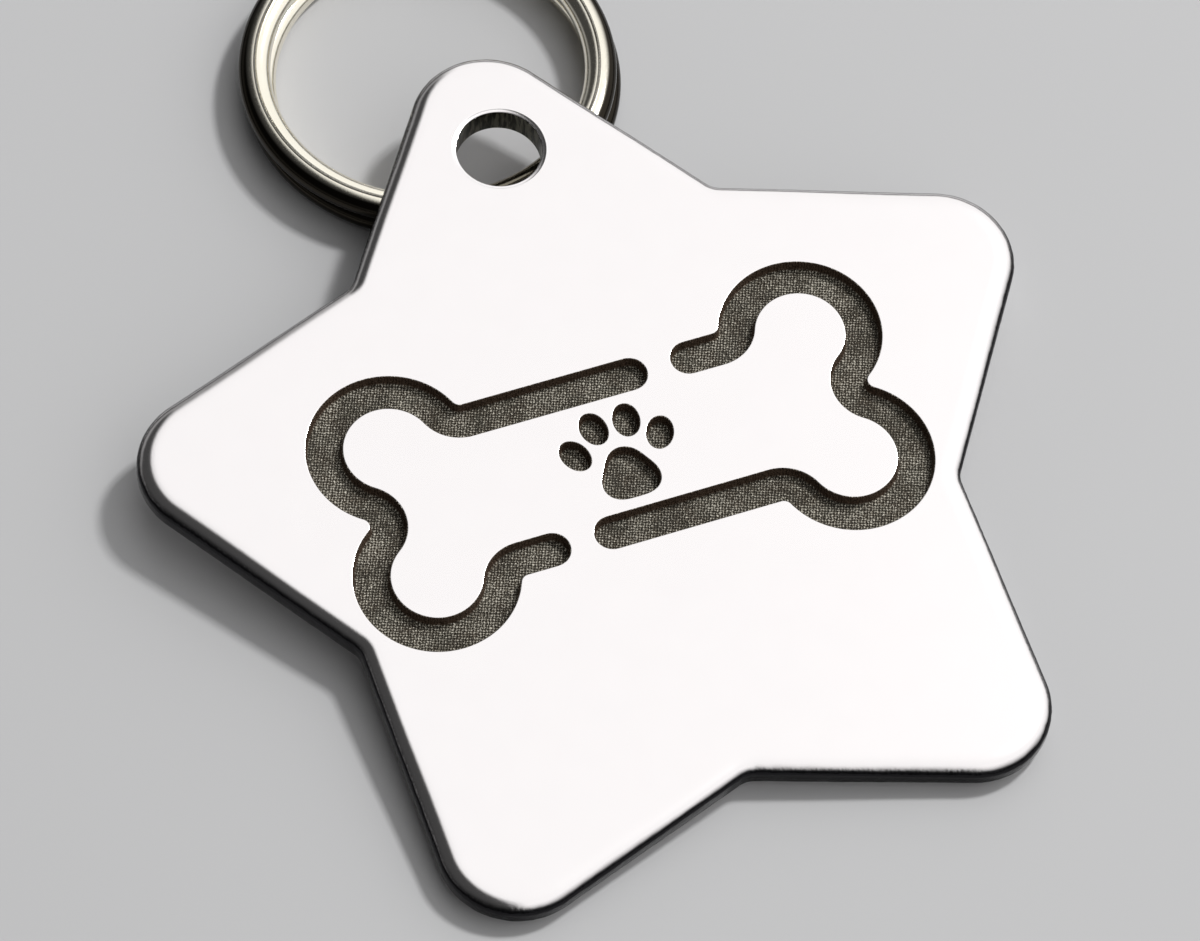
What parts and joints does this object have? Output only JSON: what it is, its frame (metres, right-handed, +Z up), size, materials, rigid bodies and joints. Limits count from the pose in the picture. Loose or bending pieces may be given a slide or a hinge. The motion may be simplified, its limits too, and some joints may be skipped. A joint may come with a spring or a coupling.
{
  "type": "pet id tag",
  "caption": "Star-shaped engraved metal pet id tag, leaning face up on the loose split ring that hangs it from a collar.",
  "frame": {"origin": "on the surface that the part lies on, under the middle of its bounding box", "axes": "+Y along the tag, from its two lower arms to the arm with the hole and the split ring; +Z up, out of the engraved face"},
  "size_m": [0.0374, 0.047, 0.0038],
  "materials": {
    "tag_plate": "polished face with tumbled edges and dark deep engraving",
    "split_ring": "nickel plated spring wire"
  },
  "bodies": {
    "ring": {"split_ring": "split_ring"},
    "tag": {"tag_plate": "tag_plate"}
  },
  "joints": [
    {"name": "tag_lift", "type": "slide", "parent": "ring", "child": "tag", "axis": [0, 0, 1], "range_m": [0, 0.03]}
  ]
}
